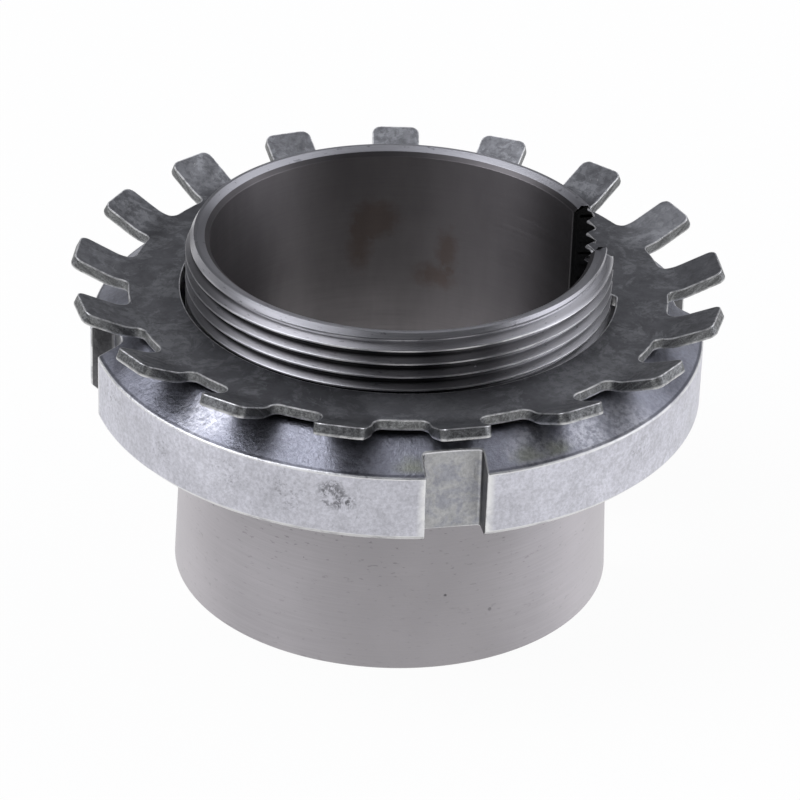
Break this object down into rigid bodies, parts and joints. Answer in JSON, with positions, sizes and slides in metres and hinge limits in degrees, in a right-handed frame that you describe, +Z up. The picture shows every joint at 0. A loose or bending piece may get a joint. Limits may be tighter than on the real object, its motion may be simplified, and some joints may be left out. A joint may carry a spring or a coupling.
{
  "type": "bearing adapter sleeve",
  "caption": "Slit tapered sleeve that clamps a bearing on a shaft, threaded at one end and carrying its slotted ring nut and tabbed lock washer.",
  "frame": {"origin": "centre of the sleeve's wide end face, on the shaft axis", "axes": "+Z up the shaft axis towards the threaded end, +X through the middle of the slit"},
  "size_m": [0.0694, 0.0694, 0.039],
  "materials": {
    "sleeve_steel": "fine turned, lightly oiled",
    "nut_steel": "matt turned, mottled",
    "washer_steel": "dark phosphated sheet with worn edges"
  },
  "bodies": {
    "sleeve": {"adapter_sleeve": "sleeve_steel"},
    "washer": {"lock_washer": "washer_steel"},
    "nut": {"lock_nut": "nut_steel"}
  },
  "joints": [
    {"name": "washer_slide", "type": "slide", "parent": "sleeve", "child": "washer", "axis": [0, 0, 1], "range_m": [0, 0.015]},
    {"name": "nut_turn", "type": "hinge", "parent": "washer", "child": "nut", "pos_m": [0, 0, 0], "axis": [0, 0, 1], "range_deg": [0, 3600]}
  ],
  "couplings": [
    {"joint": "washer_slide", "follows": "nut_turn", "m_per_rad": 0.00023873}
  ]
}
